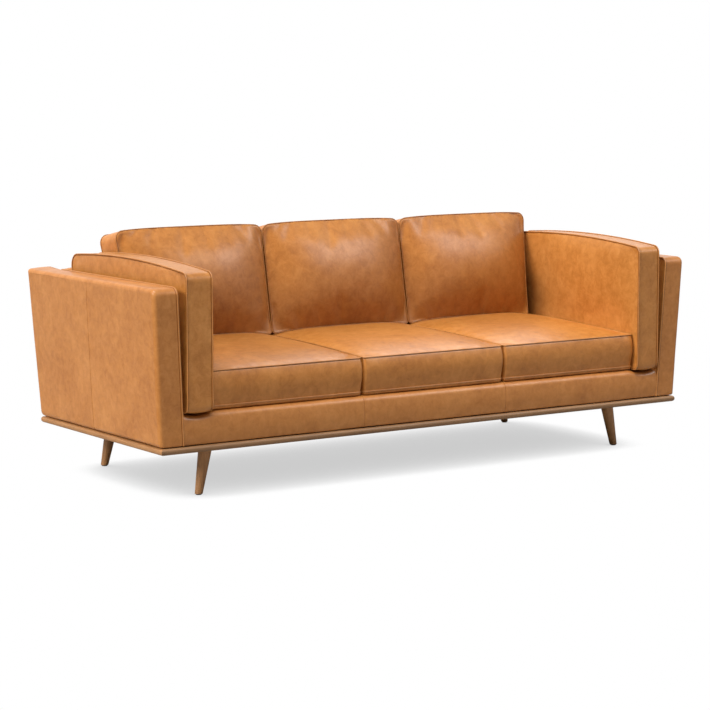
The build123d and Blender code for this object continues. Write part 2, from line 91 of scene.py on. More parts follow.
arm_arch = 0.0172
arm_crown = 0.004
arm_fullness = 0.011
arm_free_depth = 0.70
arm_free_foot = 0.38
arm_fill = 0.8
arm_sag = 0.008
arm_sag_rear = 0.01
arm_sag_run = 0.05
arm_sag_height = 0.06
arm_swell = 0.0004
arm_rear_gap = 0.012
arm_corners = (0.020, 0.020, 0.042, 0.026)

# Tub, whose padding stands proud of the frame's outline
tub_padding = 0.006
front_padding = 0.005
tub_bottom = 0.1885
tub_half_width = 1.0985
side_flare = 0.0265
side_top = 0.702
side_thickness = 0.082
side_front = 0.4355
side_front_lean = 0.0125
side_rear = 0.419
side_rear_lean = 0.0375
side_corners = (0.004, 0.018, 0.009, 0.024)
side_roundness = 0.012
side_edge = 0.003
side_top_puff = 0.002
side_top_run = 0.03
side_rear_rise = 0.005
side_rear_start = 0.9
side_puff = 0.003
side_seam_top = 0.009
side_seam_foot = 0.016
side_seam_low = 0.003
side_seam_high = 0.009
side_seam_steps = 12
back_top = 0.712
back_end_drop = 0.028
back_drop_front = 0.3
back_drop_power = 10
back_cover_corners = (0.005, 0.005, 0.022, 0.018)
back_puff = 0.004
inside_back_foot = 0.2673
rail_depth = 0.070
rail_top = 0.2961
rail_corners = (0.005, 0.004, 0.006, 0.024)
rail_arch = 0.003
rail_cell = 0.012
back_counts, rail_counts, deck_counts = (16, 34), (16, 20), (64, 24)
rail_seam_x = 0.304
scoop_half_width = 0.072
scoop_depth = 0.013
cover_gap = 0.0006

# Deck and dust cover
deck_corner = 0.004
deck_edge = 0.001
deck_dip = 0.002
dust_sag = 0.004
dust_ripple = 0.001
dust_slack_reach = 0.78
dust_scale, dust_seed = 3, 0.4
dust_rows, dust_columns = 36, 84

# Screws of the leg plates: radius and depth of the head below the plate, with a recess in the middle
leg_plate_size = 0.060
screw_inset = 0.0085
screw_steps = 16
screw_head = (
    (0.0036, 0.0),
    (0.0036, 0.0006),
    (0.0030, 0.0014),
    (0.0018, 0.0019),
    (0.0013, 0.0019),
    (0.0006, 0.0010),
)

# Piping and welts
piping_radius = 0.0021
back_piping_radius = 0.0016
welt_radius = 0.0034
# How far each cord stands out of the boxing and of the panel, at the low and the high seam
seat_proud = ((0.0018, 0.0), (0.0005, 0.0005))
arm_proud = ((0.0014, 0.0004), (0.0014, 0.0004))
flush = ((0.0, 0.0), (0.0, 0.0))
cord_rest_height = 0.004
cord_rest_run = 0.02
# Radii of the dark tubes of painted shade in the creases beside the cords: low boxing, low panel, high panel,
# high boxing
seat_creases = (0, 0, 0, 0.0011)
back_creases = (0.0008, 0.0008, 0.0010, 0.0010)
arm_creases = (0.0009, 0.0012, 0.0012, 0.0009)
crease_gap = 0.0005
boxing_crease_rise = 0.0003
panel_crease_rise = 0.0004
# Tubes of painted shade on both sides of a side panel's welt
welt_crease_radius = 0.0013
welt_crease_gap = 0.0006
welt_crease_sink = 0.0002
# Plain seams: a fine thread in a groove, with the leather full on both sides of it
seam_radius = 0.0009
fine_seam_radius = 0.0006
seam_depth = 0.0011
seam_width = 0.0030
seam_ridge = 0.0005
seam_ridge_width = 0.012
seam_clear = 0.016
back_seam_over, rail_seam_over = 4, 6
back_seam_push = (0, 0.0005, 0)
rail_seam_push = (0, -0.0003, 0.0001)
seam_steps = (-0.012, -0.006, -0.003, 0, 0.003, 0.006, 0.012)

# Painted shade on the leather where the seats meet the backs, and on the arms' rear beside the back cushions:
# where it is darkest, the scale of distances, how near and far, how dark
seat_crease_painted_shade = ((0, 0.17, 0.46), (0, 1, 1), (0.06, 0.36), (0.80, 0.82, 0.86))
arm_rear_painted_shade = ((arm_inside, 0.20, 0.50), (2, 1, 1), (0.05, 0.17), (0.60, 0.58, 0.58))

# Sewing and filling
cushion_cell = 0.014
panel_cell = 0.020
side_cell = 0.016
cord_step = 0.006
seam_step = 0.008
corner_steps = 3
least_corner = 0.0015
arch_steps = 48
swell_frames = 20
swell_pressure = 4.0
# How far the leather may swell, on the low and the high panel of a cushion and on its boxing
seat_swell_caps = (0.0, 0.003)
back_swell_caps = (0.001, 0.0045)
arm_swell_caps = (0.001, 0.001)
boxing_cap = 0.0004
# Uneven filling: heights and scales of the slow and the quick undulations
cushion_waves = (0.0020, 0.0005)
back_cushion_waves = (0.0020, 0.0009)
cover_waves = (0.0012, 0.0004)
slow_scale = 5.0
quick_scale = 17.0
seed_step = 3.7
# Leather pressed flat: on the deck, between the seats, at the back and along a side's seam
deck_press = 0.33
deck_press_run = 0.05
seat_press = 0.003
seat_press_run = 0.04
back_press_run = 0.06
side_press_run = 0.06
side_seed, back_seed, rail_seed = 40, 50, 60


# Outlines: four round corners in order from the lower left, joined by straight or arched sides


def rectangle(left, low, right, high):
    return ((left, low), (right, low), (right, high), (left, high))


def unit(vectors):
    """One vector, or each row of an array of them, at a length of 1."""
    return vectors / np.linalg.norm(vectors, axis=-1, keepdims=True)


def inset_corners(corners, inset):
    """Corners of a four-sided outline whose sides are moved in by an inset."""
    lines = []
    for i in range(4):
        start = np.array(corners[i])
        run = np.array(corners[(i + 1) % 4]) - start
        run = run / np.linalg.norm(run)
        lines.append((start + inset * np.array((-run[1], run[0])), run))
    moved = []
    for i in range(4):
        (p, d), (q, e) = lines[i - 1], lines[i]
        steps = np.linalg.solve(np.array((d, -e)).T, q - p)
        moved.append(p + steps[0] * d)
    return moved


def corner_arc(before, here, after, radius):
    """Points of the arc that rounds one corner."""
    to_before = (before - here) / np.linalg.norm(before - here)
    to_after = (after - here) / np.linalg.norm(after - here)
    half_angle = np.arccos(np.clip(np.dot(to_before, to_after), -1, 1)) / 2
    middle = (to_before + to_after) / np.linalg.norm(to_before + to_after)
    centre = here + middle * radius / np.sin(half_angle)
    start = here + to_before * radius / np.tan(half_angle) - centre
    end = here + to_after * radius / np.tan(half_angle) - centre
    turn = np.arctan2(start[0] * end[1] - start[1] * end[0], np.dot(start, end))
    points = []
    for k in range(2 * corner_steps + 1):
        a = turn * k / (2 * corner_steps)
        spin = np.array(((cos(a), -sin(a)), (sin(a), cos(a))))
        points.append(centre + spin @ start)
    return points


def shares(points):
    """Share of the whole length at each point of a line."""
    lengths = np.concatenate(([0], np.cumsum(np.linalg.norm(np.diff(points, axis=0), axis=1))))
    return lengths / lengths[-1]


def even_steps(points, count):
    """Points at even steps along a line of points, with both its ends."""
    points = np.array(points)
    lengths = np.concatenate(([0], np.cumsum(np.linalg.norm(np.diff(points, axis=0), axis=1))))
    wanted = np.linspace(0, lengths[-1], count + 1)
    return np.stack([np.interp(wanted, lengths, points[:, axis]) for axis in range(points.shape[1])], axis=1)


def outline_sides(corners, radii, arches, counts, inset=0.0, fullness=2):
    """Four sides of a panel, each from the middle of one round corner to the middle of the next."""
    corners = inset_corners(corners, inset)
    arcs = []
    for i in range(4):
        radius = max(radii[i] - inset, least_corner)
        arcs.append(corner_arc(corners[i - 1], corners[i], corners[(i + 1) % 4], radius))
    result = []
    for i in range(4):
        first, last = arcs[i], arcs[(i + 1) % 4]
        start, end = first[-1], last[0]
        outward = np.array((end[1] - start[1], start[0] - end[0]))
        outward = outward / np.linalg.norm(outward)
        run = []
        for k in range(arch_steps + 1):
            x = k / arch_steps
            arch = arches[i] * (1 - abs(2 * x - 1) ** fullness)
            run.append(start + (end - start) * x + outward * arch)
        run = even_steps(run, counts[i % 2] - 2 * corner_steps)
        result.append(np.concatenate((first[corner_steps:-1], run, last[1 : corner_steps + 1])))
    return result


def fill_panel(panel_sides):
    """Grid of points over a panel, blended from its four sides."""
    low, right = panel_sides[0], panel_sides[1]
    high, left = panel_sides[2][::-1], panel_sides[3][::-1]
    s = shares(low)[:, None, None]
    t = shares(right)[None, :, None]
    ruled = (1 - t) * low[:, None] + t * high[:, None] + (1 - s) * left[None] + s * right[None]
    corners = (1 - s) * (1 - t) * low[0] + s * (1 - t) * low[-1] + (1 - s) * t * high[0] + s * t * high[-1]
    return ruled - corners


def ease(x):
    """Smooth step from 0 to 1."""
    x = min(1.0, max(0.0, x))
    return x * x * (3 - 2 * x)


def pillow(s, t, power_s, power_t):
    """Height of a crown as a share of its full height, over a panel."""
    return (1 - abs(2 * s - 1) ** power_s) * (1 - abs(2 * t - 1) ** power_t)


def flat(s, t):
    return 0


# Sewn forms: two panels and the boxing between them


def new_piece(name, points, faces, materials=(), smooth=True):
    mesh = bpy.data.meshes.new(name)
    mesh.from_pydata(points, [], faces)
    mesh.polygons.foreach_set("use_smooth", [smooth] * len(faces))
    for material in materials:
        mesh.materials.append(material)
    piece = bpy.data.objects.new(name, mesh)
    bpy.context.scene.collection.objects.link(piece)
    return piece


def edge_of(grid):
    """Numbers around the edge of a grid, from its first corner."""
    return np.concatenate((grid[:-1, 0], grid[-1, :-1], grid[:0:-1, -1], grid[0, :0:-1])).tolist()


def coordinates(mesh):
    values = np.zeros(len(mesh.vertices) * 3)
    mesh.vertices.foreach_get("co", values)
    return values.reshape(-1, 3)


class SewnForm:
    """Closed mesh of quads. Levels are (depth, inset) pairs from the low panel to the high one."""

    def __init__(self, name, sides_at, levels, place, low_crown=flat, high_crown=flat, low_seam=0):
        low, high = (sides_at(levels[end][1]) for end in (0, -1))
        self.across, self.along = len(low[0]) - 1, len(low[1]) - 1
        points, faces, grids = [], [], []
        for panel_sides, (depth, _), crown in ((low, levels[0], low_crown), (high, levels[-1], high_crown)):
            grid = fill_panel(panel_sides)
            s, t = shares(panel_sides[0]), shares(panel_sides[1])
            first = len(points)
            for i, j in np.ndindex(grid.shape[:2]):
                points.append(place(*grid[i, j], depth + crown(s[i], t[j])))
            grids.append(np.arange(first, len(points)).reshape(grid.shape[:2]))
        a, b = grids
        for i, j in np.ndindex(self.across, self.along):
            faces.append((a[i, j], a[i, j + 1], a[i + 1, j + 1], a[i + 1, j]))
            faces.append((b[i, j], b[i + 1, j], b[i + 1, j + 1], b[i, j + 1]))
        self.rings = [edge_of(a)]
        for depth, inset in levels[1:-1]:
            first = len(points)
            for side in sides_at(inset):
                points.extend(place(u, v, depth) for u, v in side[:-1])
            self.rings.append(list(range(first, len(points))))
        self.rings.append(edge_of(b))
        self.seams = (self.rings[low_seam], self.rings[-1])
        for below, above in zip(self.rings, self.rings[1:]):
            for k in range(len(below)):
                n = (k + 1) % len(below)
                faces.append((below[k], below[n], above[n], above[k]))
        self.piece = new_piece(name, points, faces)

    def points(self):
        return coordinates(self.piece.data)

    def move_to(self, points):
        self.piece.data.vertices.foreach_set("co", points.ravel())
        self.piece.data.update()

    def crease(self, *rings):
        """Keeps sewn edges sharp when the mesh is smoothed."""
        pairs = set()
        for ring in rings:
            for a, b in zip(ring, ring[1:] + ring[:1]):
                pairs.add((min(a, b), max(a, b)))
        mesh = self.piece.data
        sharp = mesh.attributes.new("crease_edge", "FLOAT", "EDGE")
        for edge in mesh.edges:
            if tuple(sorted(edge.vertices)) in pairs:
                sharp.data[edge.index].value = 1.0

    def smooth(self):
        """Rounds the mesh once more."""
        finer = self.piece.modifiers.new("smooth", "SUBSURF")
        finer.levels = finer.render_levels = 1

    def rumple(self, seed, waves, calm=lambda at: 1.0):
        """Uneven filling: slow and quick undulations, square to the surface, none along the sewn edges."""
        still = set(self.seams[0]) | set(self.seams[1])
        points = self.points()
        for vertex in self.piece.data.vertices:
            if vertex.index in still:
                continue
            at = vertex.co + Vector((seed, 0, 0))
            lift = waves[0] * noise.noise(at * slow_scale) + waves[1] * noise.noise(at * quick_scale)
            points[vertex.index] += np.array(vertex.normal) * lift * calm(vertex.co)
        self.move_to(points)


def lay_tube(points, radius, closed, round_steps):
    """Vertices and faces of a round cord along a line of points."""
    points = [Vector(p) for p in points]
    count = len(points)
    vertices, faces = [], []
    normal = None
    frames = []
    for k in range(count):
        ahead = points[(k + 1) % count] if closed or k + 1 < count else points[k]
        behind = points[k - 1] if closed or k > 0 else points[k]
        tangent = (ahead - behind).normalized()
        if normal is None:
            normal = tangent.orthogonal().normalized()
        normal = (normal - tangent * normal.dot(tangent)).normalized()
        frames.append((normal.copy(), tangent.cross(normal)))
    for point, (n, b) in zip(points, frames):
        for r in range(round_steps):
            a = 2 * pi * r / round_steps
            vertices.append(point + radius * (cos(a) * n + sin(a) * b))
    shift = 0
    if closed:
        n, b = frames[0]
        shift = round(np.arctan2(frames[-1][0].dot(b), frames[-1][0].dot(n)) / (2 * pi) * round_steps)
    for k in range(count if closed else count - 1):
        turn = shift if k + 1 == count else 0
        here, there = k * round_steps, (k + 1) % count * round_steps
        for r in range(round_steps):
            first, second = (r + turn) % round_steps, (r + 1 + turn) % round_steps
            faces.append((here + r, here + (r + 1) % round_steps, there + second, there + first))
    if not closed:
        faces.append(tuple(reversed(range(round_steps))))
        faces.append(tuple(range((count - 1) * round_steps, count * round_steps)))
    return vertices, faces


def smooth_line(points, closed, step):
    """Finer line of points through the given ones."""
    points = np.array(points)
    if closed:
        padded = np.concatenate((points[-1:], points, points[:2]))
    else:
        padded = np.concatenate((2 * points[:1] - points[1:2], points, 2 * points[-1:] - points[-2:-1]))
    fine = []
    for k in range(1, len(padded) - 2):
        p0, p1, p2, p3 = padded[k - 1 : k + 3]
        parts = max(1, round(np.linalg.norm(p2 - p1) / step))
        for part in range(parts):
            x = part / parts
            curve = 2 * p1 + (p2 - p0) * x + (2 * p0 - 5 * p1 + 4 * p2 - p3) * x**2
            fine.append(0.5 * (curve + (3 * p1 - p0 - 3 * p2 + p3) * x**3))
    if not closed:
        fine.append(padded[-2])
    return fine


def sew_cord(name, lines, radius, materials, closed=True, round_steps=8, step=cord_step):
    """Round cords along lines, each with fine dark tubes of painted shade in the creases where it meets the
    leather beside it.
    """
    points, faces, kinds = [], [], []
    for line, creases in lines:
        paths = [(0, line, radius, round_steps)]
        paths += [(1, line + offset, crease_radius, 6) for offset, crease_radius in creases]
        for kind, path, size, steps in paths:
            cord, walls = lay_tube(smooth_line(path, closed, step), size, closed, steps)
            faces.extend(tuple(len(points) + v for v in wall) for wall in walls)
            kinds.extend([kind] * len(walls))
            points.extend(cord)
    piece = new_piece(name, points, faces, materials)
    piece.data.polygons.foreach_set("material_index", kinds)
    return piece


def swell(forms, caps):
    """Lets all the cushion covers swell together as cloth, and keeps each point near where it was cut."""
    starts = [form.points() for form in forms]
    for form in forms:
        pinned = form.piece.vertex_groups.new(name="seams")
        pinned.add(form.seams[0] + form.seams[1], 1.0, "REPLACE")
        cloth = form.piece.modifiers.new("swell", "CLOTH")
        settings = cloth.settings
        settings.quality = 4
        settings.mass = 0.4
        settings.tension_stiffness = settings.compression_stiffness = 25
        settings.shear_stiffness = 12
        settings.bending_stiffness = 4
        settings.use_pressure = True
        settings.uniform_pressure_force = swell_pressure
        settings.vertex_group_mass = "seams"
        settings.shrink_min = -0.012
        settings.effector_weights.gravity = 0
        cloth.point_cache.frame_start = 1
        cloth.point_cache.frame_end = swell_frames
    for step in range(1, swell_frames + 1):
        bpy.context.scene.frame_set(step)
    graph = bpy.context.evaluated_depsgraph_get()
    for form, start, (low_cap, high_cap) in zip(forms, starts, caps):
        moved = coordinates(form.piece.evaluated_get(graph).data) - start
        length = np.linalg.norm(moved, axis=1, keepdims=True)
        panel = (form.across + 1) * (form.along + 1)
        limit = np.full((len(start), 1), boxing_cap)
        limit[:panel] = low_cap
        limit[panel : 2 * panel] = high_cap
        for ring in form.rings[: form.rings.index(form.seams[0])]:
            limit[ring] = low_cap
        moved *= np.minimum(1, limit / np.maximum(length, 1e-9))
        form.piece.modifiers.clear()
        form.piece.vertex_groups.clear()
        form.move_to(start + moved)
    bpy.context.scene.frame_set(1)


# Materials


def new_material(name):
    material = bpy.data.materials.new(name)
    material.use_nodes = True
    tree = material.node_tree
    return material, tree, tree.nodes["Principled BSDF"]


def feed(node, **values):
    """Sets or links the inputs of a node. A low line in a key stands for a space."""
    for key, value in values.items():
        socket = node.inputs[key.replace("_", " ")]
        if isinstance(value, bpy.types.NodeSocket):
            node.id_data.links.new(value, socket)
        else:
            socket.default_value = value


def fractal(tree, at, scale, detail, roughness=0.5, distortion=0.0):
    node = tree.nodes.new("ShaderNodeTexNoise")
    feed(node, Vector=at, Scale=scale, Detail=detail, Roughness=roughness, Distortion=distortion)
    return node.outputs


def stretched(tree, scale=(1, 1, 1)):
    """Coordinates of the object, stretched along its axes."""
    place = tree.nodes.new("ShaderNodeTexCoord")
    mapping = tree.nodes.new("ShaderNodeMapping")
    feed(mapping, Vector=place.outputs["Object"], Scale=scale)
    return mapping.outputs["Vector"]


def ramp(tree, value, stops):
    node = tree.nodes.new("ShaderNodeValToRGB")
    elements = node.color_ramp.elements
    for k, (position, colour) in enumerate(stops):
        element = elements[k] if k < 2 else elements.new(position)
        element.position = position
        element.color = (*colour, 1)
    feed(node, Fac=value)
    return node.outputs["Color"]


def blend(tree, first, second, amount, mode="MIX"):
    node = tree.nodes.new("ShaderNodeMix")
    node.data_type = "RGBA"
    node.blend_type = mode
    feed(node, Factor=amount, A=first, B=second)
    return node.outputs["Result"]


def span(tree, value, low, high, start=0.0, end=1.0, kind="LINEAR"):
    """Turns a value between a start and an end into a range."""
    node = tree.nodes.new("ShaderNodeMapRange")
    node.interpolation_type = kind
    feed(node, Value=value, From_Min=start, From_Max=end, To_Min=low, To_Max=high)
    return node.outputs["Result"]


def maths(tree, operation, *values):
    node = tree.nodes.new("ShaderNodeMath")
    node.operation = operation
    for k, value in enumerate(values):
        tree.links.new(value, node.inputs[k])
    return node.outputs["Value"]


def bump(tree, height, strength, distance, under=None):
    node = tree.nodes.new("ShaderNodeBump")
    feed(node, Height=height, Strength=strength, Distance=distance)
    if under is not None:
        feed(node, Normal=under)
    return node.outputs["Normal"]


def darkened(tree, colour, at, scale, reach, tint):
    """Painted shade: leather darkened around a point, or around a line where one of the scales is 0."""
    away = tree.nodes.new("ShaderNodeVectorMath")
    away.operation = "DISTANCE"
    away.inputs[1].default_value = [a * b for a, b in zip(at, scale)]
    tree.links.new(stretched(tree, scale), away.inputs[0])
    near = span(tree, away.outputs["Value"], 1.0, 0.0, *reach, "SMOOTHSTEP")
    return blend(tree, colour, (*tint, 1), near, "MULTIPLY")


def make_leather(name, deep, middle, pale, streaks, gloss=0.36, painted_shades=()):
    """Waxed aniline leather: clouded colour, faint streaks, pores and fine creases."""
    material, tree, shader = new_material(name)
    even = stretched(tree)
    clouds = fractal(tree, even, 5.0, 6.0, 0.66, 0.6)["Fac"]
    mottle = fractal(tree, even, 34.0, 8.0, 0.72, 0.5)["Fac"]
    streak = fractal(tree, stretched(tree, (50, 50, 14)), 1.0, 6.0, 0.65, 0.6)["Fac"]
    broad = ramp(tree, clouds, ((0.30, deep), (0.70, pale), (0.5, middle)))
    spots = ramp(tree, mottle, ((0.32, deep), (0.70, pale), (0.5, middle)))
    lines = ramp(tree, streak, ((0.32, deep), (0.70, pale), (0.5, middle)))
    colour = blend(tree, broad, spots, 0.55)
    colour = blend(tree, colour, lines, streaks)
    # Painted shade laid over the leather's colour
    for shade_mark in painted_shades:
        colour = darkened(tree, colour, *shade_mark)
    pores = tree.nodes.new("ShaderNodeTexVoronoi")
    feed(pores, Vector=even, Scale=520.0)
    normal = bump(tree, fractal(tree, even, 16.0, 3.0)["Fac"], 0.22, 0.003)
    normal = bump(tree, fractal(tree, even, 120.0, 5.0, 0.6, 1.2)["Fac"], 0.18, 0.0012, normal)
    normal = bump(tree, pores.outputs["Distance"], 0.18, 0.0005, normal)
    sheen = span(tree, mottle, 0.44, 0.30)
    feed(shader, Base_Color=colour, Roughness=sheen, Normal=normal, Specular_IOR_Level=gloss)
    return material


def make_wood(name, deep, middle, pale, grain, roughness):
    """Timber with long grain, pores and slow changes of colour. Grain is the scale across and along it."""
    material, tree, shader = new_material(name)
    along = stretched(tree, grain)
    figure = fractal(tree, along, 1.0, 6.0, 0.62, 0.9)["Fac"]
    fibre = fractal(tree, along, 6.5, 5.0, 0.7, 0.2)["Fac"]
    slow = fractal(tree, stretched(tree), 6.0, 2.0)["Fac"]
    bands = ramp(tree, figure, ((0.30, deep), (0.70, pale), (0.48, middle)))
    lines = ramp(tree, fibre, ((0.34, deep), (0.66, pale), (0.46, middle)))
    tone = ramp(tree, slow, ((0.3, middle), (0.75, pale)))
    colour = blend(tree, blend(tree, bands, lines, 0.45), tone, 0.25)
    gloss = span(tree, fibre, roughness, roughness + 0.16)
    feed(shader, Base_Color=colour, Roughness=gloss, Normal=bump(tree, fibre, 0.25, 0.0006))
    return material


def make_cloth(name, dark, pale, pitch, roughness):
    """Plain woven cloth."""
    material, tree, shader = new_material(name)
    threads = stretched(tree, (1 / pitch, 1 / pitch, 1 / pitch))
    waves = []
    for direction in "XY":
        wave = tree.nodes.new("ShaderNodeTexWave")
        wave.bands_direction = direction
        feed(wave, Vector=threads, Scale=0.32, Distortion=0.6)
        waves.append(wave.outputs["Color"])
    weave = blend(tree, *waves, 0.5)
    fuzz = fractal(tree, stretched(tree), 60.0, 6.0)["Color"]
    shade = blend(tree, weave, fuzz, 0.4)
    colour = ramp(tree, shade, ((0.25, dark), (0.75, pale)))
    feed(shader, Base_Color=colour, Normal=bump(tree, weave, 0.4, 0.0006), Roughness=roughness)
    return material


def make_metal(name, dark, pale):
    """Zinc-plated steel."""
    material, tree, shader = new_material(name)
    spangle = fractal(tree, stretched(tree), 140.0, 4.0)["Fac"]
    colour = ramp(tree, spangle, ((0.3, dark), (0.7, pale)))
    feed(shader, Base_Color=colour, Roughness=span(tree, spangle, 0.28, 0.5), Metallic=1.0)
    return material


def make_plastic(name, dark, pale):
    """Moulded plastic with a fine satin texture."""
    material, tree, shader = new_material(name)
    grain = fractal(tree, stretched(tree), 700.0, 3.0)["Fac"]
    colour = ramp(tree, grain, ((0.3, dark), (0.7, pale)))
    feed(shader, Base_Color=colour, Normal=bump(tree, grain, 0.15, 0.0003), Roughness=0.5)
    return material


# The cushion leather carries painted shade where the seats meet the backs
leather = make_leather(
    "cushion_leather",
    (0.340, 0.109, 0.014),
    (0.516, 0.190, 0.034),
    (0.668, 0.281, 0.067),
    0.08,
    painted_shades=(seat_crease_painted_shade,),
)
# Each arm's leather carries painted shade on its rear beside the back cushion, and where the seat meets the
# back
arm_leather = {}
for side_name, side in sides:
    (shade_x, shade_y, shade_z), *shade_mark = arm_rear_painted_shade
    arm_leather[f"arm_cushion_{side_name}"] = make_leather(
        f"arm_leather_{side_name}",
        (0.330, 0.111, 0.016),
        (0.502, 0.194, 0.039),
        (0.650, 0.287, 0.076),
        0.10,
        painted_shades=(seat_crease_painted_shade, ((side * shade_x, shade_y, shade_z), *shade_mark)),
    )
cover_leather = make_leather(
    "cover_leather", (0.350, 0.114, 0.019), (0.505, 0.190, 0.040), (0.645, 0.276, 0.076), 0.12
)
cord_leather = make_leather(
    "piping_leather", (0.385, 0.142, 0.031), (0.475, 0.190, 0.048), (0.560, 0.246, 0.072), 0.10
)
# Dark leather of the tubes of painted shade beside the cords and welts
crease_shade_leather = make_leather(
    "crease_shade_leather", (0.170, 0.056, 0.012), (0.225, 0.076, 0.017), (0.280, 0.098, 0.023), 0.10, 0.08
)
fold_leather = make_leather(
    "fold_leather", (0.240, 0.080, 0.015), (0.310, 0.108, 0.022), (0.380, 0.138, 0.031), 0.10, 0.12
)
walnut = ((0.160, 0.065, 0.017), (0.362, 0.159, 0.048), (0.522, 0.253, 0.090))
# A darker copy of the walnut paints shade on the plinth's front and rear rails
shaded_walnut = ((0.100, 0.043, 0.012), (0.226, 0.105, 0.034), (0.326, 0.167, 0.064))
wood_along_x = make_wood("walnut_along_x", *shaded_walnut, (2.2, 42, 42), 0.42)
wood_along_y = make_wood("walnut_along_y", *walnut, (42, 2.2, 42), 0.42)
wood_along_z = make_wood("walnut_along_z", *walnut, (60, 60, 4), 0.42)
pine = ((0.480, 0.330, 0.180), (0.620, 0.450, 0.270), (0.720, 0.560, 0.370))
pine_along_x = make_wood("pine_along_x", *pine, (2.0, 36, 36), 0.6)
pine_along_y = make_wood("pine_along_y", *pine, (36, 2.0, 36), 0.6)
pine_along_z = make_wood("pine_along_z", *pine, (36, 36, 2.0), 0.6)
steel = make_metal("zinc_steel", (0.52, 0.53, 0.55), (0.72, 0.73, 0.75))
glide_plastic = make_plastic("glide_plastic", (0.020, 0.016, 0.014), (0.045, 0.036, 0.030))
webbing_cloth = make_cloth("webbing", (0.040, 0.034, 0.030), (0.130, 0.110, 0.095), 0.0022, 0.85)
lining_cloth = make_cloth("lining_cloth", (0.150, 0.100, 0.065), (0.260, 0.185, 0.125), 0.0016, 0.9)
dust_cloth = make_cloth("dust_cloth", (0.012, 0.012, 0.013), (0.045, 0.045, 0.048), 0.0014, 0.92)

for material, nodes in (
    (wood_along_x, "plinth_front_rail plinth_rear_rail"),
    (wood_along_y, "plinth_left_rail plinth_right_rail"),
    (wood_along_z, "leg_front_left leg_front_right leg_rear_left leg_rear_right"),
    (pine_along_x, "seat_frame_front_rail seat_frame_rear_rail back_top_rail"),
    (pine_along_y, "leg_rail_left leg_rail_right left_side_board right_side_board"),
    (pine_along_y, "seat_frame_left_rail seat_frame_right_rail seat_frame_cross_rails"),
    (pine_along_y, "left_side_bottom_rail right_side_bottom_rail left_side_top_rail right_side_top_rail"),
    (pine_along_z, "seat_frame_corner_blocks left_side_posts right_side_posts back_uprights"),
    (steel, "leg_plates hanger_bolts"),
    (glide_plastic, "leg_glides"),
    (webbing_cloth, "seat_webbing back_webbing"),
):
    for node in nodes.split():
        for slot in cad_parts[node].material_slots:
            slot.material = material


# Cushions


def box_sides(corners, radii, arches, counts, fullness=2):
    return lambda inset: outline_sides(corners, radii, arches, counts, inset, fullness)


def swollen(low, high, swell_by):
    """Levels of a boxing strip that bows out between its two seams, least beside the lower one."""
    count = max(4, round((high - low) / cushion_cell))
    levels = []
    for k in range(count + 1):
        x = k / count
        bow = 27 / 4 * x * x * (1 - x)
        levels.append((low + (high - low) * x, -swell_by * bow))
    return levels


def cells(length, cell):
    return max(6, round(length / cell))


def seam_lines(form, out_along, radius, proud, creases, rests_at=0.0):
    """Cords for both seams of a boxed cushion, with the tubes of painted shade in the creases on the boxing
    and the panel beside them.
    """
    points = form.points()
    lines = []
    for ring, sign, on_boxing, on_panel, stand in (
        (form.seams[0], -1, creases[0], creases[1], proud[0]),
        (form.seams[1], 1, creases[3], creases[2], proud[1]),
    ):
        line = points[ring]
        tangent = np.roll(line, -1, axis=0) - np.roll(line, 1, axis=0)
        face = np.array(out_along) * sign
        outward = unit(np.cross(tangent, face))
        outward *= np.sign((outward * (line - line.mean(axis=0))).sum(axis=1, keepdims=True))
        free = np.clip((line[:, 2:] - rests_at) / cord_rest_run, 0, 1)
        lift = stand[0] * free * outward + stand[1] * face
        apart = radius + crease_gap
        beside = []
        if on_boxing:
            beside.append((boxing_crease_rise * outward - apart * face - lift, on_boxing))
        if on_panel:
            beside.append((panel_crease_rise * face - apart * outward - lift, on_panel))
        lines.append((line + lift, beside))
    return lines


def seat_lift(y):
    """Rise of the upper seam of a seat cushion to its rear, where the back cushion holds it down."""
    run = min(1.0, max(0.0, (y - seat_front) / seat_rise_run))
    rise = seat_rise * (1 - (1 - run) ** seat_rise_curve)
    room = back_foot.z - tan(recline) * (y - back_foot.y) - seat_high_seam - seat_back_room
    return max(0.0, min(rise, room))


def place_seat(u, v, w):
    height = min(1.0, max(0.0, (w - seat_low_seam) / (seat_high_seam - seat_low_seam)))
    bow = seat_front_bow * 4 * height * (1 - height) * ease((seat_front + seat_bow_run - v) / seat_bow_run)
    return (u, v - bow, w + seat_lift(v) * height)


def seat_dome(s, t):
    """Crown of a seat cushion: full in the middle, falling to its four seams."""
    front = min(1.0, t / seat_crown_reach)
    rear = min(1.0, (1 - t) / seat_crown_reach)
    return (1 - (1 - front) ** 2) * (1 - (1 - rear) ** 2) * (1 - abs(2 * s - 1) ** 4)


# Underside of a seat cushion: rolls out and then in below its lower seam, and lies flat on the deck
seat_roll = [
    (seat_low_seam - seat_underside * share, inset)
    for share, inset in ((1.0, 0.0070), (0.93, 0.0018), (0.66, -0.0010), (0.30, -0.0014))
]


def arm_inner_crown(s, t):
    """Inner face of an arm cushion: fuller where no other cushion leans on it."""
    height = max(0.0, (t - arm_free_foot) / (1 - arm_free_foot))
    return arm_outer_crown(s, t) + arm_fullness * pillow(min(1.0, s / arm_free_depth), min(1.0, height), 4, 3)


def arm_outer_crown(s, t):
    return (arm_crown - arm_swell_caps[0]) * pillow(s, t, 4, 4)


def place_arm(u, v, w):
    """The front foot of an arm cushion sags into the dip of the rail."""
    across = 2 * (abs(w) - arm_inside) / arm_boxing - 1
    sag = arm_sag * (1 - 0.5 * min(1.0, across**2))
    foot = ease((rail_depth - side_front - arm_sag_rear - u) / arm_sag_run)
    return (w, u, v - sag * foot * ease(1 - (v - arm_low) / arm_sag_height))


lean_up = Vector((0, sin(recline), cos(recline)))
lean_out = Vector((0, -cos(recline), sin(recline)))


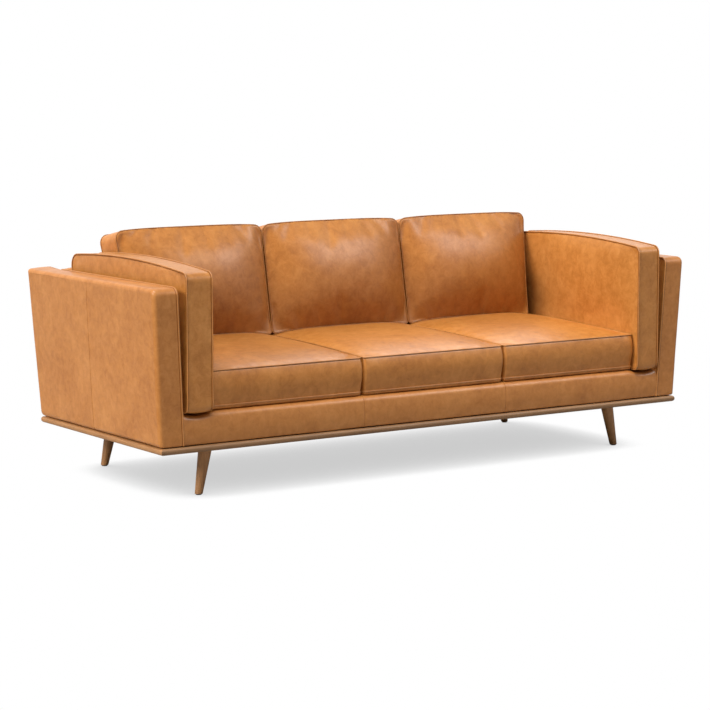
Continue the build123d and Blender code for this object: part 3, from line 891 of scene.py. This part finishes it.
def calm_low(at):
    """Leather pressed flat where a cushion stands on the deck."""
    return ease((at.z - deck_press) / deck_press_run)


def calm_seat(at):
    """Leather pressed flat under a seat cushion and where it meets the next one."""
    along = (at.x + cushion_pitch / 2) % cushion_pitch
    return calm_low(at) * ease((min(along, cushion_pitch - along) - seat_press) / seat_press_run)


def calm_rear(at):
    """Leather pressed flat where a back cushion leans on the back."""
    return ease(lean_out.dot(at - back_foot) / back_press_run + 1)


cushions = []

for place_name, place in places:
    x = place * cushion_pitch
    half = seat_width / 2
    counts = (cells(seat_width, cushion_cell), cells(seat_rear - seat_front, cushion_cell))
    corners = rectangle(x - half, seat_front, x + half, seat_rear)
    form = SewnForm(
        f"seat_cushion_{place_name}_leather",
        box_sides(corners, (seat_corner,) * 4, (0, seat_draw_in, 0, seat_draw_in), counts),
        seat_roll + swollen(seat_low_seam, seat_high_seam, seat_swell),
        place_seat,
        flat,
        lambda s, t: (seat_crown - seat_swell_caps[1]) * seat_dome(s, t),
        len(seat_roll),
    )
    cord = ((0, 0, 1), piping_radius, seat_proud, seat_creases)
    cushions.append((f"seat_cushion_{place_name}", form, cord, seat_fill, seat_swell_caps))

    half = back_width / 2

    def drawn_in(u, v, half=half, place=place):
        """The foot of an outer cushion is a little narrower beside the arm."""
        outer = max(0.0, place * u / half) ** 3
        return u - place * back_taper * outer * (1 + back_taper_head - v / back_height)

    counts = (cells(back_width, cushion_cell), cells(back_height, cushion_cell))
    form = SewnForm(
        f"back_cushion_{place_name}_leather",
        box_sides(
            rectangle(-half, 0, half, back_height),
            back_corners,
            (back_hollow, back_draw_in, back_rise, back_draw_in),
            counts,
            4,
        ),
        swollen(-back_boxing, 0, 0),
        lambda u, v, w: back_foot + Vector((x + drawn_in(u, v), 0, 0)) + lean_up * v + lean_out * w,
        lambda s, t: -back_rear_crown * pillow(s, t, 4, 2.7),
        lambda s, t: (back_crown - back_crown_room) * pillow(s, t, 3, 2.1),
    )
    cord = (lean_out, back_piping_radius, flush, back_creases)
    cushions.append((f"back_cushion_{place_name}", form, cord, back_fill, back_swell_caps))


def inside_back(z):
    return inside_back_foot + tan(recline) * (z - tub_bottom)


for side_name, side in sides:
    low, high = sorted((side * arm_inside, side * (arm_inside + arm_boxing)))
    arm_rear_foot = inside_back(arm_low) - arm_rear_gap
    arm_rear_head = inside_back(arm_rear_top) - arm_rear_gap
    corners = (
        (arm_front, arm_low),
        (arm_rear_foot, arm_low),
        (arm_rear_head, arm_rear_top),
        (arm_front, arm_front_top),
    )
    counts = (cells(arm_rear_head - arm_front, cushion_cell), cells(arm_rear_top - arm_low, cushion_cell))
    form = SewnForm(
        f"arm_cushion_{side_name}_leather",
        box_sides(corners, arm_corners, (0, 0, arm_arch, 0), counts),
        swollen(low, high, arm_swell),
        place_arm,
        lambda s, t: -(arm_inner_crown if side > 0 else arm_outer_crown)(s, t),
        lambda s, t: (arm_inner_crown if side < 0 else arm_outer_crown)(s, t),
    )
    cord = ((1, 0, 0), piping_radius, arm_proud, arm_creases)
    cushions.append((f"arm_cushion_{side_name}", form, cord, arm_fill, arm_swell_caps))

swell([cushion[1] for cushion in cushions], [cushion[-1] for cushion in cushions])

for seed, (node, form, cord, fill, _) in enumerate(cushions):
    calm = {"back": calm_rear, "seat": calm_seat}.get(node[:4], calm_low)
    waves = back_cushion_waves if node.startswith("back") else cushion_waves
    form.rumple(seed_step * seed, waves, calm)
    form.crease(*form.seams)
    form.smooth()
    form.piece.data.materials.append(arm_leather.get(node, leather))
    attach(form.piece, node)
    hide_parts(node)
    rests_at = arm_low + cord_rest_height if node.startswith("arm") else 0.0
    out_along, radius, proud, creases = cord
    lines = seam_lines(form, out_along, radius, proud, creases, rests_at)
    piping = sew_cord(f"{node}_piping", lines, radius, (cord_leather, crease_shade_leather))
    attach(piping, node)


# Tub covers


def side_rise(z):
    return (z - tub_bottom) / (side_top - tub_bottom)


def side_inside(z):
    return tub_half_width - side_thickness + side_flare * side_rise(z)


def groove(x):
    """Height of the leather by the two upright seams: pulled in at a seam, full on both sides of it."""
    distance = abs(x) - rail_seam_x
    full = seam_ridge * exp(-((distance / seam_ridge_width) ** 2))
    return full - seam_depth * exp(-((distance / seam_width) ** 2))


def stops(low, high, cell, seams=()):
    """Even stops along a cover, with closer ones at each seam."""
    count = round((high - low) / cell)
    along = [low + (high - low) * k / count for k in range(count + 1)]
    for seam in seams:
        along = [p for p in along if abs(p - seam) > seam_clear]
        along += [seam + step for step in seam_steps]
    return sorted(along)


def sew_seam(name, lines, radius):
    """Fine dark lines of plain seams."""
    lines = [(line, ()) for line in lines]
    piece = sew_cord(name, lines, radius, (fold_leather,), False, 6, seam_step)
    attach(piece, "sofa_body")


def finish_cover(form, seed, nodes, sharp, calm=lambda at: 1.0):
    form.rumple(seed, cover_waves, calm)
    form.crease(*sharp)
    form.smooth()
    form.piece.data.materials.append(cover_leather)
    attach(form.piece, "sofa_body")
    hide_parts(*nodes)


def side_y(t, z):
    """Place along a side panel: t runs from 0 at its front to 1 at its rear."""
    rise = side_rise(z)
    front = -side_front - side_front_lean * rise - front_padding
    rear = side_rear + side_rear_lean * rise + tub_padding
    return front + (rear - front) * t


side_length = side_front + side_rear
side_height = side_top - tub_bottom + tub_padding
straight = (0, 0, 0, 0)
panel_thickness = side_thickness + tub_padding


def side_seam_y(z):
    return side_seam_foot + (side_seam_top - side_seam_foot) * side_rise(z)


def calm_side(at):
    """Leather drawn flat along the upright seam of a side."""
    return ease(abs(at.y - side_seam_y(at.z)) / side_press_run)


for side_name, side in sides:

    def place_side(u, v, w, side=side):
        z = tub_bottom + v
        t = u / side_length
        out = w / panel_thickness
        puff = side_puff * pillow(t, v / side_height, 4, 4) * (2 * out - 1)
        top = ease((v - side_height + side_top_run) / side_top_run)
        rear = ease((t - side_rear_start) / (1 - side_rear_start))
        crown = side_top_puff * (1 - (2 * out - 1) ** 2) + side_rear_rise * rear * (1 - out)
        return (side * (side_inside(z) + w + puff), side_y(t, z), z + top * crown)

    profile = [(0.0, 0.0), (side_edge, 0.0)]
    for k in range(1, 5):
        profile.append((side_edge + (panel_thickness - side_roundness - 2 * side_edge) * k / 4, 0.0))
    for k in range(5):
        a = pi / 2 * k / 4
        depth = panel_thickness - side_roundness + side_roundness * sin(a)
        profile.append((depth, side_roundness * (1 - cos(a))))
    counts = (cells(side_length, side_cell), cells(side_height, panel_cell))
    corners = rectangle(0, 0, side_length, side_height)
    form = SewnForm(
        f"{side_name}_side_leather",
        box_sides(corners, side_corners, straight, counts),
        profile,
        place_side,
    )
    if side < 0:
        form.piece.data.flip_normals()
    ring = form.points()[form.rings[0]]
    welt = np.concatenate((ring[form.across + form.along :], ring[:1]))
    welt = welt[welt[:, 1] < inside_back(side_top)]
    finish_cover(
        form,
        side_seed + side,
        (f"{side_name}_side_outer_cover", f"{side_name}_side_inner_cover"),
        (form.rings[0],),
        calm_side,
    )
    run = np.gradient(welt, axis=0)
    inward = unit(np.stack((np.zeros(len(run)), run[:, 2], -run[:, 1]), axis=1))
    inward *= np.sign((inward * (ring.mean(axis=0) - welt)).sum(axis=1, keepdims=True))
    outward = np.tile(np.array((side * 1.0, 0, 0)), (len(welt), 1))
    # Tubes of painted shade on both sides of the welt
    creases = [
        ((welt_radius + welt_crease_gap) * away - welt_crease_sink * other, welt_crease_radius)
        for away, other in ((outward, inward), (inward, outward))
    ]
    leathers = (cord_leather, crease_shade_leather)
    piping = sew_cord(f"{side_name}_side_welt", [(welt, creases)], welt_radius, leathers, False)
    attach(piping, "sofa_body")
    seam = []
    for k in range(side_seam_steps + 1):
        z = tub_bottom + side_seam_low + (side_height - side_seam_low - side_seam_high) * k / side_seam_steps
        t = (side_seam_y(z) - side_y(0, z)) / (side_y(1, z) - side_y(0, z))
        seam.append(place_side(t * side_length, z - tub_bottom, panel_thickness))
    sew_seam(f"{side_name}_side_seam", [np.array(seam)], fine_seam_radius)


def place_back(u, v, w):
    reach = side_inside(v) - cover_gap
    y = u
    rear = side_y(1, v)
    middle = (inside_back(v) + rear) / 2
    span_y = rear - inside_back(v)
    height = (v - tub_bottom) / (back_top - tub_bottom)
    swell_y = back_puff * (1 - w**4) * (1 - abs(2 * height - 1) ** 4)
    if y > middle:
        y += swell_y * (y - middle) / (span_y / 2)
        y += groove(w * reach)
    rearward = min(1.0, max(0.0, (u - inside_back(v)) / span_y))
    drop = back_end_drop * (back_drop_front + (1 - back_drop_front) * rearward)
    return (w * reach, y, v - drop * abs(w) ** back_drop_power * ease(2 * height - 1))


def cover_seams(form, along, first, last, push):
    """Lines of the upright seams of a cover, along part of its outline."""
    rings = [form.rings[along.index(share)] for share in seam_shares]
    return [form.points()[ring[first:last]] + np.array(push) for ring in rings]


back_head = back_top + tub_padding
back_outline = (
    (inside_back(tub_bottom), tub_bottom),
    (side_y(1, tub_bottom), tub_bottom),
    (side_y(1, back_head), back_head),
    (inside_back(back_head), back_head),
)
back_reach = side_inside(tub_bottom)
seam_shares = (-rail_seam_x / back_reach, rail_seam_x / back_reach)
back_stops = stops(-1.0, 1.0, panel_cell / back_reach, seam_shares)
form = SewnForm(
    "back_leather",
    box_sides(back_outline, back_cover_corners, straight, back_counts),
    [(w, 0.0) for w in back_stops],
    place_back,
)
finish_cover(form, back_seed, ("back_outer_cover", "back_inner_cover"), (form.rings[0], form.rings[-1]))
rear_start = form.across
rear_end = rear_start + form.along + back_seam_over
lines = cover_seams(form, back_stops, rear_start, rear_end, back_seam_push)
sew_seam("back_seams", lines, seam_radius)


def rail_scoop(x):
    """How far the front rail dips under the arm cushions."""
    away = abs(abs(x) - (arm_inside + arm_boxing / 2)) / scoop_half_width
    return scoop_depth * (1 - away**2) ** 2 * (1 + away**2) if away < 1 else 0


def place_rail(u, v, w):
    x = w * (side_inside(v) - cover_gap)
    height = (v - tub_bottom) / (rail_top - tub_bottom)
    z = v - rail_scoop(x) * max(0, 2 * height - 1)
    in_front = u < -side_front + rail_depth / 2
    return (x, u - groove(x) if in_front else u, z)


rail_outline = rectangle(-side_front - front_padding, tub_bottom, -side_front + rail_depth, rail_top)
rail_stops = stops(-1.0, 1.0, rail_cell / back_reach, seam_shares)
form = SewnForm(
    "front_rail_leather",
    box_sides(rail_outline, rail_corners, (0, 0, 0, rail_arch), rail_counts),
    [(w, 0.0) for w in rail_stops],
    place_rail,
)
finish_cover(form, rail_seed, ("front_rail_cover",), (form.rings[0], form.rings[-1]))
front_start = 2 * form.across + form.along
front_end = front_start + form.along
lines = cover_seams(form, rail_stops, front_start - rail_seam_over, front_end, rail_seam_push)
sew_seam("front_rail_seams", lines, fine_seam_radius)


# Deck under the seat cushions, and the dust cover under the frame

deck_low, deck_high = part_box("deck_pad")
form = SewnForm(
    "deck_cloth",
    box_sides(rectangle(*deck_low.xy, *deck_high.xy), (deck_corner,) * 4, straight, deck_counts),
    [(deck_low.z, 0.0), ((deck_low.z + deck_high.z) / 2, 0.0), (deck_high.z - deck_edge, deck_edge)],
    lambda u, v, w: (u, v, w),
    flat,
    lambda s, t: deck_edge * pillow(s, t, 16, 16) - deck_dip * pillow(s, t, 2, 2),
)
form.smooth()
form.piece.data.materials.append(lining_cloth)
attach(form.piece, "sofa_body")
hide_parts("deck_pad")

dust_low, dust_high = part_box("dust_cover")
dust_z = (dust_low.z + dust_high.z) / 2
dust_points, dust_faces = [], []
for j, i in np.ndindex(dust_rows + 1, dust_columns + 1):
    t = j / dust_rows
    x = dust_low.x + (dust_high.x - dust_low.x) * i / dust_columns
    y = dust_low.y + (dust_high.y - dust_low.y) * t
    slack = max(0.0, 1 - (x / dust_slack_reach) ** 2) * pillow(0.5, t, 2, 6)
    ripple = noise.noise(Vector((x * dust_scale, y * dust_scale, dust_seed)))
    dust_points.append((x, y, dust_z - slack * (dust_sag + dust_ripple * ripple)))
for j, i in np.ndindex(dust_rows, dust_columns):
    a = j * (dust_columns + 1) + i
    dust_faces.append((a, a + dust_columns + 1, a + dust_columns + 2, a + 1))
dust_piece = new_piece("dust_cover_cloth", dust_points, dust_faces, (dust_cloth,))
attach(dust_piece, "sofa_body")
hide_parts("dust_cover")

# Screws of the leg plates, of which only the heads show below them

plates_low, plates_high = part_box("leg_plates")
screw_points, screw_faces = [], []
near_edges = (screw_inset, leg_plate_size - screw_inset)
for x, y, near_x, near_y in product(
    (plates_low.x, plates_high.x), (plates_low.y, plates_high.y), near_edges, near_edges
):
    x += -near_x if x > 0 else near_x
    y += -near_y if y > 0 else near_y
    first = len(screw_points)
    for radius, drop in screw_head:
        for k in range(screw_steps):
            turn = 2 * pi * k / screw_steps
            screw_points.append((x + radius * cos(turn), y + radius * sin(turn), plates_low.z - drop))
    last = len(screw_points) - screw_steps
    for ring in range(first, last, screw_steps):
        for k in range(screw_steps):
            a, b = ring + k, ring + (k + 1) % screw_steps
            screw_faces.append((a, a + screw_steps, b + screw_steps, b))
    screw_faces.append(tuple(range(first, first + screw_steps)))
    screw_faces.append(tuple(reversed(range(last, last + screw_steps))))
screws = new_piece("leg_plate_screws", screw_points, screw_faces, (steel,), False)
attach(screws, "sofa_body")


# Floor, light and camera

reach = 40.0
floor_points = [(x, y, 0) for x, y in rectangle(-reach, -reach, reach, reach)]
floor = new_piece("floor", floor_points, [(0, 1, 2, 3)], (), False)

# The floor is white where it lies open and grey where the sofa shelters it, least under the sofa's ends
floor_material, tree, shader = new_material("floor")
feed(shader, Base_Color=(0.38, 0.38, 0.38, 1), Roughness=1.0, Specular_IOR_Level=0.0)
shelter = tree.nodes.new("ShaderNodeAmbientOcclusion")
shelter.samples = 16
feed(shelter, Distance=0.6)
axes = tree.nodes.new("ShaderNodeSeparateXYZ")
feed(axes, Vector=stretched(tree))
from_middle = maths(tree, "ABSOLUTE", axes.outputs["X"])
end_light = span(tree, from_middle, 0.0, 0.16, 0.86, 1.10, "SMOOTHSTEP")
open_share = maths(tree, "ADD", shelter.outputs["AO"], end_light)
floor_shades = ((0.10, 0.597), (0.50, 1.0), (0.153, 0.617), (0.235, 0.716), (0.418, 0.855))
floor_shade = ramp(tree, open_share, [(share, (level,) * 3) for share, level in floor_shades])
glow = tree.nodes.new("ShaderNodeEmission")
feed(glow, Color=floor_shade)
seen = tree.nodes.new("ShaderNodeLightPath")
lit = tree.nodes.new("ShaderNodeMixShader")
feed(lit, Fac=seen.outputs["Is Camera Ray"])
tree.links.new(shader.outputs["BSDF"], lit.inputs[1])
tree.links.new(glow.outputs["Emission"], lit.inputs[2])
feed(tree.nodes["Material Output"], Surface=lit.outputs["Shader"])
floor.data.materials.append(floor_material)

world = bpy.data.worlds.new("studio")
world.use_nodes = True
tree = world.node_tree
backdrop = tree.nodes["Background"]
seen = tree.nodes.new("ShaderNodeLightPath").outputs
in_view = maths(tree, "MAXIMUM", seen["Is Camera Ray"], seen["Is Glossy Ray"])
in_view = maths(tree, "MAXIMUM", in_view, seen["Is Transmission Ray"])
feed(backdrop, Color=(1, 1, 1, 1), Strength=span(tree, in_view, 0.24, 1.0))
bpy.context.scene.world = world


def add_light(name, kind, power, towards, at=(0, 0, 0)):
    lamp = bpy.data.lights.new(name, kind)
    lamp.energy = power
    light = bpy.data.objects.new(name, lamp)
    light.location = at
    light.rotation_euler = Vector(towards).to_track_quat("-Z", "Y").to_euler()
    bpy.context.scene.collection.objects.link(light)
    return light


# Soft light from far away
for name, strength, softness, towards in (
    ("key_light", 2.45, 22, (0.87, 0.04, -0.48)),
    ("top_light", 2.80, 28, (0.18, 0.20, -0.96)),
):
    add_light(name, "SUN", strength, towards).data.angle = radians(softness)

# Square soft boxes that are seen as a sheen on the leather
for name, size, power, at, aim in (
    ("front_box", 1.6, 90.0, (2.55, -2.75, 3.15), (0, 0.2, 0.7)),
    ("rear_box", 2.0, 34.0, (2.8, 2.4, 3.6), (0, -0.4, 0.45)),
):
    box = add_light(name, "AREA", power, Vector(aim) - Vector(at), at)
    box.data.shape = "SQUARE"
    box.data.size = size
    box.visible_diffuse = False

camera_data = bpy.data.cameras.new("camera")
camera_data.sensor_width = 36.0
camera_data.lens = 116.84
camera_data.clip_end = 200.0
camera = bpy.data.objects.new("camera", camera_data)
camera.location = (-4.6938, -6.8993, 1.4284)
camera.rotation_euler = (radians(90 - 7.228), 0, radians(-33.962))
bpy.context.scene.collection.objects.link(camera)
bpy.context.scene.camera = camera
bpy.context.scene.view_settings.view_transform = "Standard"
